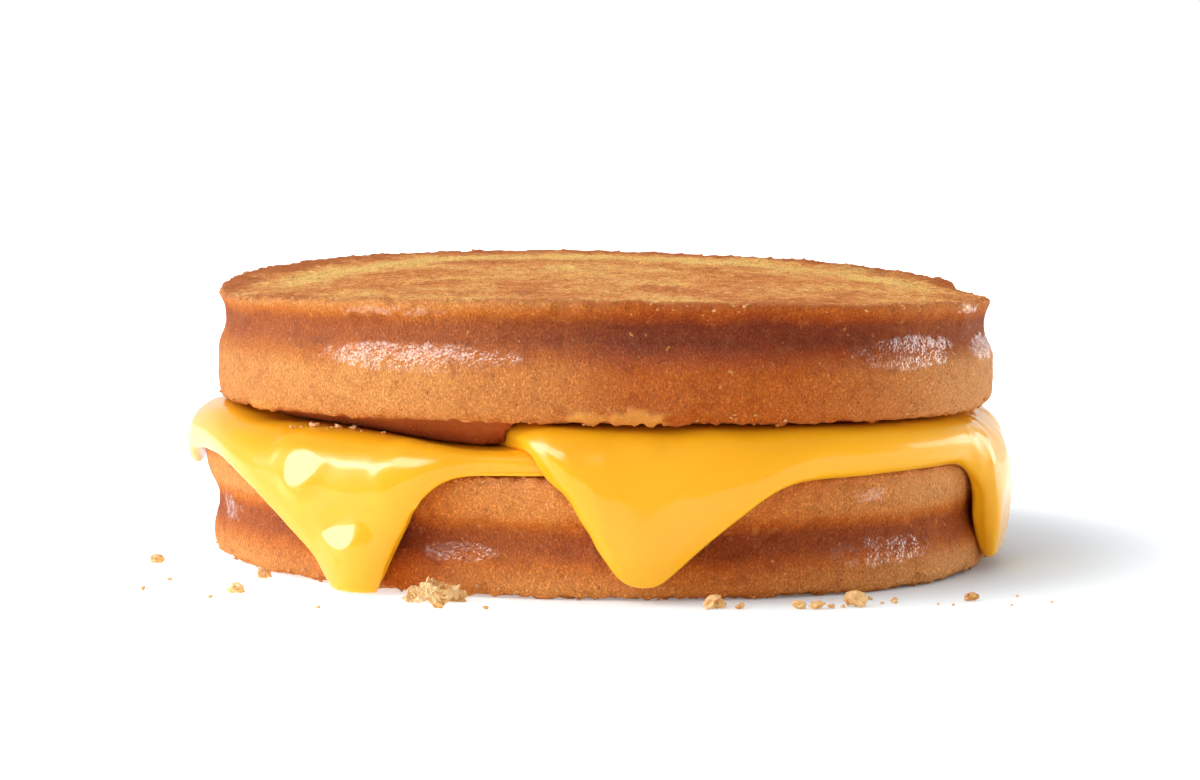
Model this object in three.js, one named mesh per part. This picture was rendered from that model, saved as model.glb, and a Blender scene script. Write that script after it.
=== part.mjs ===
// A grilled cheese sandwich: two thick slices of fried bread round two melted slices of cheese.
// Millimetres, +Z up. Every piece is one closed skin of rings, strung from a pole on its upper side
// to a pole on its lower side, with all rings cut by the same columns round the axis of the loaf.
import * as THREE from "three";
import { ImprovedNoise } from "three/addons/math/ImprovedNoise.js";

const { clamp, degToRad, lerp, smoothstep } = THREE.MathUtils;
const noise = new ImprovedNoise();
const clearance = 0.3;

// From above, a slice is a mean circle with lobes: their count, height and direction in degrees.
const loaf = {
  radius: 61.6,
  lobes: [
    { count: 2, rise: 5.6, toward: -19 },
    { count: 3, rise: 0.6, toward: -10 },
    { count: 5, rise: 0.5, toward: 24 },
  ],
};

// The lower slice stands flat. The upper one lies on the cheese, leans forward and droops at both ends.
const lowerSlice = { height: 19.4, rim: 2.2, footRim: 1.6, grooveAt: 0.5, lean: 1.6, leanToward: 183 };
const upperSlice = {
  underside: 27.1,
  height: 19.3,
  rim: 2,
  grooveAt: 0.74,
  forwardTilt: 0.73,
  undersideDroop: 1.4,
  topDroop: { left: 2.2, right: 2.5, leftSpan: 50, rightSpan: 73, crownAt: -11.5, twist: 0.9 },
  droopPower: 2.2,
  shift: 1.3,
};

// The crust draws in along one band all round, and its skin is a little uneven.
const groove = { depth: 1, width: 0.15 };
const crust = { lumpSize: 12, lumpDepth: 0.5, grainSize: 4, grainDepth: 0.3 };
const griddleRim = { rounding: 1, raggedness: 0.45, raggedSize: 3.2 };

// Torn or dented places on the upper slice: angle and height share of each, its half width and half
// height, and how far it goes in (a negative depth is a scrap that stands out).
const scars = [
  { angle: 276.5, share: 0.9, wide: 1.6, tall: 0.14, depth: 0.9 },
  { angle: 264, share: 0.96, wide: 1.8, tall: 0.08, depth: 0.7 },
  { angle: 320, share: 0.97, wide: 2.5, tall: 0.08, depth: 0.8 },
  { angle: 337.5, share: 1, wide: 3, tall: 0.08, depth: 1.3 },
  { angle: 268, share: 0.04, wide: 1.8, tall: 0.1, depth: -0.7 },
  { angle: 279.5, share: 0.05, wide: 2.6, tall: 0.13, depth: -0.9 },
  { angle: 196, share: 0.05, wide: 2.5, tall: 0.12, depth: -0.8 },
];

// A melted slice bends over the rim of the bread in a soft shoulder, where it ends at a lip or runs
// down the crust in a drip. Each drip has its direction, its length past the lip, the half width of
// its tip, and on either side the width of its flank and the power by which that flank falls away. A
// negative length draws the lip back.
const shoulder = 10;
const lowerCheese = {
  lip: 4.4,
  waver: { depth: 0.9, size: 5 },
  thickness: 3.2,
  openThickness: 1.9,
  endThickness: 1.8,
  hangThickness: 3.7,
  endThinning: 1.2,
  endToward: 184,
  endWidth: 20,
  tucked: -4,
  tuckedFrom: 272,
  tuckedTo: 424,
  tuckBlend: 10,
  drips: [
    { toward: 232.3, length: 22.4, tip: 4.1, before: 36, after: 17, powerBefore: 1.7, powerAfter: 2 },
    { toward: 262, length: -3, tip: 1, before: 18, after: 12, powerBefore: 1, powerAfter: 1 },
    { toward: 190, length: 1.4, tip: 6, before: 14, after: 16, powerBefore: 1.2, powerAfter: 1.2 },
    { toward: 172, length: 9, tip: 2, before: 15, after: 15, powerBefore: 1.6, powerAfter: 1.6 },
    { toward: 142, length: 9, tip: 3, before: 26, after: 24, powerBefore: 1.8, powerAfter: 1.8 },
  ],
};
const upperCheese = {
  lip: 6,
  waver: { depth: 1.1, size: 6 },
  hangThickness: 4.1,
  clearOfLower: 0.45,
  step: [1.3, 3],
  endBulge: 0.4,
  endToward: 346,
  endWidth: 22,
  sides: [
    { toward: 205, distance: 32.5 },
    { toward: 131.5, distance: 42 },
  ],
  drips: [
    { toward: 277.4, length: 19, tip: 3.8, before: 17, after: 23, powerBefore: 1.15, powerAfter: 1.45 },
    { toward: 344.5, length: 19.5, tip: 5.5, before: 7, after: 22, powerBefore: 1.8, powerAfter: 1.5 },
    { toward: 76, length: 10, tip: 3, before: 28, after: 24, powerBefore: 1.8, powerAfter: 1.8 },
  ],
};

// The edge of a sheet is round, with its outermost line at a share of the thickness. The rings of a
// sheet stand at distances in from where it starts to bend, then at shares of its bent part, then at
// shares of the round edge, counted from the end, and last below, up to a distance further in.
const sheetEdge = { radius: 3.2, midHeight: 0.4, steepest: 3, underSide: 0.25 };
const sheetRings = {
  bendsAt: 2.5,
  flat: [19, 10, 4.5, 0],
  hanging: [0.27, 0.52, 0.76, 1],
  edge: [0.45, 0.12, 0],
};
const underSideReach = 14;

// Columns stand closer together in front, where the cheese hangs, and where one cheese comes out from
// under the other at the back.
const columnZones = [
  { from: 196, to: 300, step: 2 },
  { from: 300, to: 334, step: 3.4 },
  { from: 334, to: 352, step: 2 },
  { from: 352, to: 424, step: 8 },
  { from: 424, to: 456, step: 3.2 },
  { from: 456, to: 556, step: 7.1 },
];
const columns = columnZones.flatMap(({ from, to, step }) => {
  const count = Math.round((to - from) / step);
  return Array.from({ length: count }, (_, i) => from + ((to - from) * i) / count);
});

// ---- Measures shared by all pieces ----

function turnBetween(a, b) {
  return ((((a - b + 180) % 360) + 360) % 360) - 180;
}

// 1 at the middle of a bump, 0 from one width away, with a smooth foot and top.
function bump(distance, width) {
  const t = clamp(1 - Math.abs(distance) / width, 0, 1);
  return t * t * (3 - 2 * t);
}

function outline(angle) {
  return loaf.lobes.reduce(
    (sum, { count, rise, toward }) => sum + rise * Math.cos(count * degToRad(angle - toward)),
    loaf.radius,
  );
}

function polar(angle, radius, z) {
  return new THREE.Vector3(radius * Math.cos(degToRad(angle)), radius * Math.sin(degToRad(angle)), z);
}

// Noise from 0 to 1 at a point, with lumps of the given size.
function lumps(point, size) {
  const { x, y, z } = point.clone().divideScalar(size).addScalar(40);
  return 0.5 + 0.5 * clamp(1.4 * noise.noise(x, y, z), -1, 1);
}

function closedSkin(upperPole, rings, lowerPole) {
  const points = [upperPole, ...rings.flat(), lowerPole];
  const last = points.length - 1;
  const count = columns.length;
  const at = (ring, column) => 1 + ring * count + (column % count);
  const faces = [];
  for (let column = 0; column < count; column++) {
    faces.push(0, at(0, column), at(0, column + 1));
    faces.push(last, at(rings.length - 1, column + 1), at(rings.length - 1, column));
    for (let ring = 0; ring < rings.length - 1; ring++) {
      const [a, b] = [at(ring, column), at(ring + 1, column)];
      const [d, c] = [at(ring, column + 1), at(ring + 1, column + 1)];
      const splitAtA = points[a].distanceTo(points[c]) <= points[b].distanceTo(points[d]);
      faces.push(...(splitAtA ? [a, b, c, a, c, d] : [a, b, d, b, c, d]));
    }
  }
  const geometry = new THREE.BufferGeometry().setFromPoints(points);
  geometry.setIndex(faces);
  geometry.computeVertexNormals();
  return geometry;
}

function piece(name, geometry, look) {
  const mesh = new THREE.Mesh(geometry, new THREE.MeshStandardMaterial(look));
  mesh.name = name;
  return mesh;
}

// ---- Bread ----

// How far a rounded edge lies inside the crust, at a distance from the face it rounds into.
function rimInset(distance, radius) {
  const inward = clamp(radius - distance, 0, radius);
  return radius - Math.sqrt(radius * radius - inward * inward);
}

function crustInset(angle, share, grooveAt) {
  const outer = polar(angle, outline(angle), share * lowerSlice.height);
  const drawnIn = groove.depth * Math.exp(-(((share - grooveAt) / groove.width) ** 2));
  const lumpy = crust.lumpDepth * lumps(outer, crust.lumpSize);
  return drawnIn + lumpy + crust.grainDepth * lumps(outer, crust.grainSize);
}

// A slice's skin. `place` lifts a point of the outline's plane to its height share in the slice. The
// rings on the two faces stand at shares of the outline, those on the crust at shares of the height.
function makeSlice(slice, place, profile) {
  const ringAt = (share, reach) =>
    columns.map((angle) => place(polar(angle, reach(angle, share), 0), share, angle));
  const onCrust = (angle, share) => {
    const below = rimInset(share * slice.height, profile.lowerRim);
    const above = rimInset((1 - share) * slice.height, profile.upperRim);
    return outline(angle) - below - above - profile.inset(angle, share);
  };
  const rings = [
    ...profile.topShares.map((share) => ringAt(1, (angle) => share * outline(angle))),
    ...profile.crustShares.map((share) => ringAt(share, onCrust)),
    ...profile.bottomShares.map((share) => ringAt(0, (angle) => share * outline(angle))),
  ];
  const centre = new THREE.Vector3();
  return closedSkin(place(centre.clone(), 1, 0), rings, place(centre.clone(), 0, 0));
}

function leanOut(angle, share) {
  return lowerSlice.lean * (share - 0.5) * Math.cos(degToRad(angle - lowerSlice.leanToward));
}

function makeLowerSlice() {
  const place = (point, share) => point.setZ(share * lowerSlice.height);
  return makeSlice(lowerSlice, place, {
    lowerRim: lowerSlice.footRim,
    upperRim: lowerSlice.rim,
    topShares: [0.5, 0.9],
    crustShares: [1, 0.967, 0.887, 0.76, 0.65, 0.56, 0.47, 0.36, 0.2, 0.05, 0],
    bottomShares: [0.8],
    inset: (angle, share) => crustInset(angle, share, lowerSlice.grooveAt) - leanOut(angle, share),
  });
}

function tiltLift(point) {
  return Math.tan(degToRad(upperSlice.forwardTilt)) * (point.y + loaf.radius);
}

function undersideAt(point) {
  const droop = upperSlice.undersideDroop * Math.abs(point.x / loaf.radius) ** upperSlice.droopPower;
  return upperSlice.underside + tiltLift(point) - droop;
}

// The griddled face droops from its crown to either end, and on the left more in front than behind.
function topDroopAt(point) {
  const { left, right, leftSpan, rightSpan, crownAt, twist } = upperSlice.topDroop;
  const fromCrown = point.x - crownAt;
  if (fromCrown > 0) return right * (fromCrown / rightSpan) ** upperSlice.droopPower;
  const share = (-fromCrown / leftSpan) ** upperSlice.droopPower;
  return share * (left - (twist * point.y) / loaf.radius);
}

function makeUpperSlice() {
  const place = (point, share, angle) => {
    const top = upperSlice.underside + upperSlice.height + tiltLift(point) - topDroopAt(point);
    const rough = share > 0.9 ? griddleRim.raggedness * (lumps(point, griddleRim.raggedSize) - 0.5) : 0;
    point.z = lerp(undersideAt(point), top, share) + rough;
    point.x += upperSlice.shift;
    return point;
  };
  const scarDepth = (angle, share) =>
    scars.reduce((sum, scar) => {
      const across = bump(turnBetween(angle, scar.angle), scar.wide);
      return sum + scar.depth * across * bump(share - scar.share, scar.tall);
    }, 0);
  return makeSlice(upperSlice, place, {
    lowerRim: upperSlice.rim,
    upperRim: griddleRim.rounding,
    topShares: [0.5, 0.88],
    crustShares: [1, 0.975, 0.91, 0.82, 0.74, 0.66, 0.52, 0.34, 0.16, 0.04, 0],
    bottomShares: [0.8, 0.45],
    inset: (angle, share) => {
      const rim = polar(angle, outline(angle), 0);
      const ragged = share > 0.9 ? griddleRim.raggedness * lumps(rim, griddleRim.raggedSize) : 0;
      return crustInset(angle, share, upperSlice.grooveAt) + scarDepth(angle, share) + ragged;
    },
  });
}

// ---- Cheese ----

// A point at a distance `off` the lower slice. `along` is measured on the outside of the cheese: 0
// where the rim starts to turn, negative further in, then round the shoulder and down the crust.
function onLowerSlice(angle, along, off) {
  const { height, rim } = lowerSlice;
  const turn = (clamp(along / shoulder, 0, 1) * Math.PI) / 2;
  const inner = outline(angle) - rim + Math.min(along, 0);
  const down = Math.max(along - shoulder, 0);
  const z = height - rim + (rim + off) * Math.cos(turn) - down;
  const lean = leanOut(angle, clamp(z / height, 0, 1)) * smoothstep(along, -8, 0);
  return polar(angle, inner + (rim + off) * Math.sin(turn) + lean, z);
}

function dripReach(angle, drips) {
  return drips.reduce((sum, drip) => {
    const turn = turnBetween(angle, drip.toward);
    const flank = turn < 0 ? drip.before : drip.after;
    const power = turn < 0 ? drip.powerBefore : drip.powerAfter;
    const share = clamp(1 - (Math.abs(turn) - drip.tip) / flank, 0, 1);
    return sum + drip.length * share ** power;
  }, 0);
}

// A lip's edge is a little wavy.
function waver(angle, { depth, size }) {
  return depth * (lumps(polar(angle, 20, 0), size) - 0.5);
}

function softMinimum(a, b, softness) {
  return 0.5 * (a + b - Math.sqrt((a - b) ** 2 + softness ** 2));
}

// How far along the lower slice each cheese reaches.
function lowerReach(angle) {
  const { lip, tucked, tuckedFrom, tuckedTo, tuckBlend } = lowerCheese;
  const turn = angle < 180 ? angle + 360 : angle;
  const before = smoothstep(turn, tuckedFrom - tuckBlend, tuckedFrom);
  const after = smoothstep(turn, tuckedTo, tuckedTo + tuckBlend);
  const hanging = lip + waver(angle, lowerCheese.waver) + dripReach(angle, lowerCheese.drips);
  return lerp(hanging, tucked, before - after);
}

function upperReach(angle) {
  const free = upperCheese.lip + waver(angle, upperCheese.waver) + dripReach(angle, upperCheese.drips);
  return upperCheese.sides.reduce((reach, side) => {
    const cosine = Math.cos(degToRad(angle - side.toward));
    if (cosine < 0.2) return reach;
    return softMinimum(reach, side.distance / cosine - outline(angle) + lowerSlice.rim, 2);
  }, free);
}

// Distance inside the nearer straight side of the upper cheese, for a point on the bread.
function insideUpperCheese(point) {
  const gaps = upperCheese.sides.map(({ toward, distance }) => {
    const normal = polar(toward, 1, 0);
    return distance - point.x * normal.x - point.y * normal.y;
  });
  return Math.min(...gaps);
}

// Distance off the lower slice of each cheese's outer face, before its edge is rounded.
function lowerOuter(angle, along) {
  const onTop = onLowerSlice(angle, along, clearance);
  const open = smoothstep(-insideUpperCheese(onTop), 5, 17);
  const atEnd = bump(turnBetween(angle, lowerCheese.endToward), lowerCheese.endWidth);
  const room = undersideAt(onTop) - 2 * clearance - lowerSlice.height;
  const thicker = lowerCheese.openThickness + lowerCheese.endThickness * atEnd;
  const flat = Math.min(lowerCheese.thickness + open * thicker, room);
  const hanging = lowerCheese.hangThickness - lowerCheese.endThinning * atEnd;
  return clearance + lerp(flat, hanging, smoothstep(along, -2, shoulder));
}

function upperOuter(angle, along) {
  const onTop = onLowerSlice(angle, Math.min(along, 0), clearance);
  const room = undersideAt(onTop) - clearance - lowerSlice.height;
  const atEnd = bump(turnBetween(angle, upperCheese.endToward), upperCheese.endWidth);
  const bulge = upperCheese.endBulge * atEnd * bump(along - shoulder, shoulder);
  return lerp(room, clearance + upperCheese.hangThickness, smoothstep(along, -2, shoulder)) + bulge;
}

// The upper cheese lies on the lower one as far as that reaches, and on the bread beyond.
function upperInner(angle, along) {
  const past = smoothstep(along - lowerReach(angle), ...upperCheese.step);
  return lerp(lowerOuter(angle, along) + upperCheese.clearOfLower, clearance, past);
}

// A melted slice, from the middle of its upper side out over the rim, round its edge and back.
function makeSheet({ reach, outer, inner, underRings }) {
  const roundness = (share) => Math.sqrt(1 - (1 - clamp(share, 0, 1)) ** 2);
  const rings = [];
  const addRing = (place) => rings.push(columns.map(place));
  const edgePath = (angle) => {
    const slope = (reach(angle + 2) - reach(angle - 2)) / degToRad(4) / outline(angle);
    return sheetEdge.radius * Math.min(Math.sqrt(1 + slope * slope), sheetEdge.steepest);
  };
  const middle = (angle, along) => lerp(inner(angle, along), outer(angle, along), sheetEdge.midHeight);
  const outside = (angle, along) => {
    const share = (reach(angle) - along) / edgePath(angle);
    return lerp(middle(angle, along), outer(angle, along), roundness(share));
  };
  const inside = (angle, along) => {
    const share = (reach(angle) - along) / (sheetEdge.midHeight * edgePath(angle));
    return lerp(middle(angle, along), inner(angle, along), roundness(share));
  };
  const bendEnd = (angle) => reach(angle) - edgePath(angle);
  const bendStart = (angle) => Math.min(-sheetRings.bendsAt, bendEnd(angle) - 1);

  addRing((angle) => {
    const firstRing = outline(angle) - lowerSlice.rim + bendStart(angle) - sheetRings.flat[0];
    const along = lowerSlice.rim - outline(angle) + 0.4 * firstRing;
    return onLowerSlice(angle, along, outside(angle, along));
  });
  for (const back of sheetRings.flat) {
    addRing((angle) => {
      const along = bendStart(angle) - back;
      return onLowerSlice(angle, along, outside(angle, along));
    });
  }
  for (const share of sheetRings.hanging) {
    addRing((angle) => {
      const along = lerp(bendStart(angle), bendEnd(angle), share);
      return onLowerSlice(angle, along, outside(angle, along));
    });
  }
  for (const share of sheetRings.edge) {
    addRing((angle) => {
      const along = reach(angle) - share * edgePath(angle);
      return onLowerSlice(angle, along, outside(angle, along));
    });
  }
  addRing((angle) => {
    const along = reach(angle) - sheetEdge.underSide * edgePath(angle);
    return onLowerSlice(angle, along, inside(angle, along));
  });
  underRings.forEach((wanted, order) => {
    addRing((angle) => {
      const along = Math.min(wanted(angle), reach(angle) - 0.42 * edgePath(angle) - 0.15 * order);
      return onLowerSlice(angle, along, inner(angle, along));
    });
  });
  const top = new THREE.Vector3(0, 0, lowerSlice.height + outer(0, -loaf.radius));
  const bottom = new THREE.Vector3(0, 0, lowerSlice.height + inner(0, -loaf.radius));
  return closedSkin(top, rings, bottom);
}

function rimRings(steps) {
  return Array.from({ length: steps + 1 }, (_, i) => shoulder * (1 - i / steps));
}

function makeLowerCheese() {
  return makeSheet({
    reach: lowerReach,
    outer: lowerOuter,
    inner: () => clearance,
    underRings: rimRings(2).map((along) => () => along),
  });
}

function makeUpperCheese() {
  const places = (angle) => {
    const steps = upperCheese.step.map((past) => lowerReach(angle) + past);
    return [...rimRings(3), ...steps].sort((a, b) => b - a);
  };
  const underRings = places(0).map((_, order) => (angle) => places(angle)[order]);
  return makeSheet({
    reach: upperReach,
    outer: upperOuter,
    inner: upperInner,
    underRings: [...underRings, (angle) => places(angle).at(-1) - underSideReach],
  });
}

// ---- The sandwich, with its origin under the middle of its box ----

const sandwich = new THREE.Group();
sandwich.add(
  piece("bread_bottom", makeLowerSlice(), { color: 0xc07a3c, roughness: 0.6, metalness: 0 }),
  piece("cheese_left", makeLowerCheese(), { color: 0xf5a81c, roughness: 0.25, metalness: 0 }),
  piece("cheese_right", makeUpperCheese(), { color: 0xf7ae22, roughness: 0.25, metalness: 0 }),
  piece("bread_top", makeUpperSlice(), { color: 0xb96a2c, roughness: 0.55, metalness: 0 }),
);
const box = new THREE.Box3().setFromObject(sandwich);
const middle = box.getCenter(new THREE.Vector3());
sandwich.position.set(-middle.x, -middle.y, -box.min.z);

export default sandwich;
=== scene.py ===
# Grilled cheese sandwich: two thick slices of buttered toast round two melted slices of cheese
import math
import random

import bmesh
import bpy
import numpy as np
from mathutils import Euler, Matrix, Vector, noise
from mathutils.bvhtree import BVHTree


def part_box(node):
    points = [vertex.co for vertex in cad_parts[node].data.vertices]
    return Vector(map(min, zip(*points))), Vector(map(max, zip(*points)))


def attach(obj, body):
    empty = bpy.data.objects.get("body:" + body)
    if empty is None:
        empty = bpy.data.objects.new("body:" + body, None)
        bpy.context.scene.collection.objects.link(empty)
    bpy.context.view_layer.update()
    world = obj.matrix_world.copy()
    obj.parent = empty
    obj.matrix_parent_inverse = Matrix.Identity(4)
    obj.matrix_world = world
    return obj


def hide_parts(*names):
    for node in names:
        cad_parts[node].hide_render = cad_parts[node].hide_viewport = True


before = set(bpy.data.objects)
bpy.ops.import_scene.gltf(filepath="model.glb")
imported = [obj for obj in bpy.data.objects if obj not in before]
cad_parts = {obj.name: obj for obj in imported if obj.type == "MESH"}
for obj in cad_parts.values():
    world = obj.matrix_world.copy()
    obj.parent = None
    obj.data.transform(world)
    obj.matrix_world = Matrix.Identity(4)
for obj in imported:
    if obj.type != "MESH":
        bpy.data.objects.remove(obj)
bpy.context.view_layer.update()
scene = bpy.context.scene
scene.view_settings.view_transform = "Standard"
mm = 0.001
print("frame loaded:", ", ".join(sorted(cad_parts)))


# the camera stands low and straight in front
camera = {
    "focalLength": 98.94,  # mm
    "sensorWidth": 36,  # mm
    "nearest": 10 * mm,
    "inFrontOf": 503.4 * mm,  # from the front of the lower slice
    "aside": 1.0 * mm,
    "height": 82.4 * mm,
    "downTilt": 5.62,  # degrees
}


def addCamera():
    lens = bpy.data.cameras.new("camera")
    lens.lens = camera["focalLength"]
    lens.sensor_width = camera["sensorWidth"]
    lens.clip_start = camera["nearest"]
    holder = bpy.data.objects.new("camera", lens)
    scene.collection.objects.link(holder)
    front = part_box("bread_bottom")[0].y
    holder.location = (camera["aside"], front - camera["inFrontOf"], camera["height"])
    holder.rotation_euler = (math.radians(90 - camera["downTilt"]), 0, 0)
    scene.camera = holder


addCamera()
print("camera set")


class Value:  # a shader socket that sums can be written with
    def __init__(self, paint, socket):
        self.paint = paint
        self.socket = socket

    def math(self, operation, *numbers):
        return self.paint.node("Math", {"operation": operation}, dict(enumerate(numbers)))

    def __add__(self, other):
        return self.math("ADD", self, other)

    def __radd__(self, other):
        return self.math("ADD", other, self)

    def __sub__(self, other):
        return self.math("SUBTRACT", self, other)

    def __rsub__(self, other):
        return self.math("SUBTRACT", other, self)

    def __mul__(self, other):
        return self.math("MULTIPLY", self, other)

    def __rmul__(self, other):
        return self.math("MULTIPLY", other, self)


class Paint:  # the nodes of one material, or of the sky
    def __init__(self, owner, coordinates="Object"):
        owner.use_nodes = True
        self.owner = owner
        self.tree = owner.node_tree
        self.tree.nodes.clear()
        self.place = self.node("TexCoord", {}, {}, coordinates)

    def node(self, kind, settings, inputs, output=0):
        made = self.tree.nodes.new("ShaderNode" + kind)
        for name, setting in settings.items():
            if name == "stops":
                self.setStops(made.color_ramp, setting)
            else:
                setattr(made, name, setting)
        for name, value in inputs.items():
            if isinstance(value, Value):
                self.tree.links.new(value.socket, made.inputs[name])
            else:
                made.inputs[name].default_value = value
        return None if output is None else Value(self, made.outputs[output])

    def setStops(self, ramp, stops):
        while len(ramp.elements) < len(stops):
            ramp.elements.new(1)
        for element, (position, colour) in zip(ramp.elements, stops):
            element.position = position
            element.color = (*colour, 1)

    def attribute(self, name):
        return self.node("Attribute", {"attribute_name": name}, {}, "Fac")

    def noise(self, size, detail, roughness, stretch=(1, 1, 1)):  # size in mm
        scaled = self.node("Mapping", {}, {"Vector": self.place, "Scale": stretch})
        inputs = {"Vector": scaled, "Scale": 1 / (size * mm), "Detail": detail}
        return self.node("TexNoise", {}, {**inputs, "Roughness": roughness}, "Fac")

    def step(self, value, low, high):  # 0 at low, 1 at high, smooth between
        settings = {"interpolation_type": "SMOOTHSTEP"}
        inputs = {"Value": value, "From Min": low, "From Max": high}
        return self.node("MapRange", settings, inputs, "Result")

    def band(self, value, middle, width):  # 1 at the middle, 0 from one width away
        falling = self.step(value, middle, middle + width)
        return self.step(value, middle - width, middle) * (1 - falling)

    def ramp(self, value, stops):
        return self.node("ValToRGB", {"stops": stops}, {"Fac": value}, "Color")

    def mix(self, share, first, second, kind="MIX"):
        # sockets 0, 6 and 7: the share and the two colours; output 2: their mix
        inputs = {0: share, 6: asColour(first), 7: asColour(second)}
        return self.node("Mix", {"data_type": "RGBA", "blend_type": kind}, inputs, 2)

    def bump(self, height, distance):
        inputs = {"Height": height, "Strength": 1.0, "Distance": distance * mm}
        return self.node("Bump", {}, inputs, "Normal")

    def finish(self, sockets, shader="BsdfPrincipled", end="OutputMaterial"):
        self.node(end, {}, {"Surface": self.node(shader, {}, sockets)}, None)
        return self.owner

    def finishBoth(self, share, first, second):  # one finish over another
        dry = self.node("BsdfPrincipled", {}, first)
        wet = self.node("BsdfPrincipled", {}, second)
        both = self.node("MixShader", {}, {0: share, 1: dry, 2: wet})
        self.node("OutputMaterial", {}, {"Surface": both}, None)
        return self.owner


def asColour(value):
    return value if isinstance(value, Value) else (*value, 1)


def addPiece(name, data, material, smooth=True):
    piece = bpy.data.objects.new(name, data)
    scene.collection.objects.link(piece)
    data.materials.clear()
    data.materials.append(material)
    data.polygons.foreach_set("use_smooth", [smooth] * len(data.polygons))
    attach(piece, "root")
    return piece


# how the facets of a solid's copy are rounded off
rounding = {
    "mergeWithin": 0.002 * mm,
    "foldAngle": 70,  # degrees; triangles that fold less are joined to one face
    "skewAngle": 80,
    "passes": 3,  # in each, edges that are too long are cut in two
    "bulge": 0.15,
    "skinFrom": 0.8,  # flatness from which a corner lies on the skin
    "inAndOut": (0.5, -0.52),  # smoothed in and out again, so that nothing shrinks
    "levels": 2,
}


def roundedCopy(node, longest, smoothing=0):
    # merged and rounded copy of a solid; longest gives how long an edge may be there, in mm
    mesh = bmesh.new()
    mesh.from_mesh(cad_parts[node].data)
    bmesh.ops.remove_doubles(mesh, verts=mesh.verts, dist=rounding["mergeWithin"])
    angles = {"angle_face_threshold": math.radians(rounding["foldAngle"])}
    angles["angle_shape_threshold"] = math.radians(rounding["skewAngle"])
    bmesh.ops.join_triangles(mesh, faces=mesh.faces, **angles)
    cut = {"cuts": 1, "smooth": rounding["bulge"], "use_grid_fill": True}
    for _ in range(rounding["passes"]):
        mesh.normal_update()
        tooLong = [edge for edge in mesh.edges if edge.calc_length() > longest(edge) * mm]
        bmesh.ops.subdivide_edges(mesh, edges=tooLong, **cut)
    skin = [vert for vert in mesh.verts if flatness(vert) > rounding["skinFrom"]]
    axes = {"use_axis_x": True, "use_axis_y": True, "use_axis_z": True}
    for _ in range(smoothing):
        for factor in rounding["inAndOut"]:
            bmesh.ops.smooth_vert(mesh, verts=skin, factor=factor, **axes)
    data = bpy.data.meshes.new(node)
    mesh.to_mesh(data)
    mesh.free()
    holder = bpy.data.objects.new(node, data)
    scene.collection.objects.link(holder)
    smoother = holder.modifiers.new("rounding", "SUBSURF")
    smoother.levels = smoother.render_levels = rounding["levels"]
    evaluated = holder.evaluated_get(bpy.context.evaluated_depsgraph_get())
    rounded = bpy.data.meshes.new_from_object(evaluated)
    bpy.data.objects.remove(holder)
    bpy.data.meshes.remove(data)
    return rounded


def flatness(vert):
    # near 1 on a flat skin, low on a rim
    return min(vert.normal.dot(face.normal) for face in vert.link_faces)


def middleOf(edge):
    return (edge.verts[0].co + edge.verts[1].co) / 2 / mm


def readVertices(data, what):  # "co" or "normal"
    values = np.zeros(len(data.vertices) * 3)
    data.vertices.foreach_get(what, values)
    return values.reshape(-1, 3)


def treeOf(piece):
    data = bpy.data.objects[piece].data
    return BVHTree.FromPolygons([v.co for v in data.vertices], [p.vertices for p in data.polygons])


def setAttribute(data, name, values):
    layer = data.attributes.new(name, "FLOAT", "POINT")
    layer.data.foreach_set("value", np.asarray(values, np.float32))


def smoothStep(value, low, high):
    t = np.clip((value - low) / (high - low), 0, 1)
    return t * t * (3 - 2 * t)


def bumpAt(value, middle, width):  # what band does, for numbers
    falling = smoothStep(value, middle, middle + width)
    return smoothStep(value, middle - width, middle) * (1 - falling)


def noiseAt(points, made):
    # noise at points in mm; an entry gives its size, its shift and its height
    shift = Vector((made["shift"],) * 3)
    values = [noise.noise(Vector(p) / made["size"] + shift) for p in points]
    return made.get("height", 1) * np.array(values)


def grainAt(points, made):
    # the same with one half as large and high on it
    finer = {**made, "size": made["size"] / 2, "shift": made["shift"] + 7}
    return noiseAt(points, made) + 0.5 * noiseAt(points, finer)


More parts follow.
